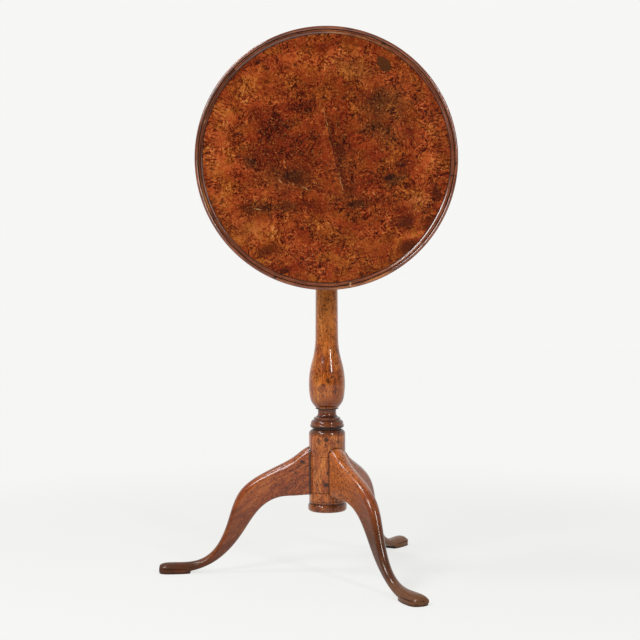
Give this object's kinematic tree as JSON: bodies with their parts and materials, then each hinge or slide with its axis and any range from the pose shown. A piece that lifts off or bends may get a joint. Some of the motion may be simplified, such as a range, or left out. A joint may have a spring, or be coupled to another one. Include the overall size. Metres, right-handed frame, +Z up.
{
  "type": "tilt-top tripod table",
  "caption": "Round dished burr-wood table top that tips up on a pivot block over a turned baluster column with cabriole tripod legs and a spring catch.",
  "frame": {"origin": "on the floor, on the axis of the column, in the plane that the three feet stand on", "axes": "+Z up the column; the tipped-up top faces -Y and its pivot runs along X; the left leg points to -X"},
  "size_m": [0.545, 0.5514, 0.9885],
  "materials": {
    "burr_veneer": "french polished burr veneer",
    "rim_wood": "polished moulding, darkened by age",
    "column_wood": "polished turned wood with pips",
    "leg_wood": "polished carved wood",
    "board_wood": "bare aged softwood underside",
    "batten_wood": "waxed hardwood",
    "brass": "aged brass",
    "iron": "dull wrought iron",
    "spring_steel": "blued spring steel"
  },
  "bodies": {
    "base": {"column": "column_wood", "leg_left": "leg_wood", "leg_front": "leg_wood", "leg_back": "leg_wood", "top_block": "batten_wood", "tenon_wedge": "batten_wood", "pivot_pin_left": "iron", "pivot_pin_right": "iron", "strike_plate": "brass", "strike_screws": "brass"},
    "top": {"top_board": "board_wood", "top_veneer": "burr_veneer", "rim_segment_1": "rim_wood", "rim_segment_2": "rim_wood", "rim_segment_3": "rim_wood", "rim_segment_4": "rim_wood", "rim_segment_5": "rim_wood", "batten_left": "batten_wood", "batten_right": "batten_wood", "batten_screws": "iron", "catch_plate": "brass", "catch_case": "brass", "catch_screws": "brass", "catch_spring": "spring_steel"},
    "catch": {"catch_bolt": "brass", "catch_knob": "brass"}
  },
  "joints": [
    {"name": "top_tilt", "type": "hinge", "parent": "base", "child": "top", "pos_m": [0, -0.062, 0.6935], "axis": [-1, 0, 0], "range_deg": [0, 90]},
    {"name": "catch_slide", "type": "slide", "parent": "top", "child": "catch", "axis": [0, 0, 1], "range_m": [0, 0.008], "stiffness_N_per_m": 300, "springref_m": -0.006, "deforming": ["catch_spring"]}
  ]
}
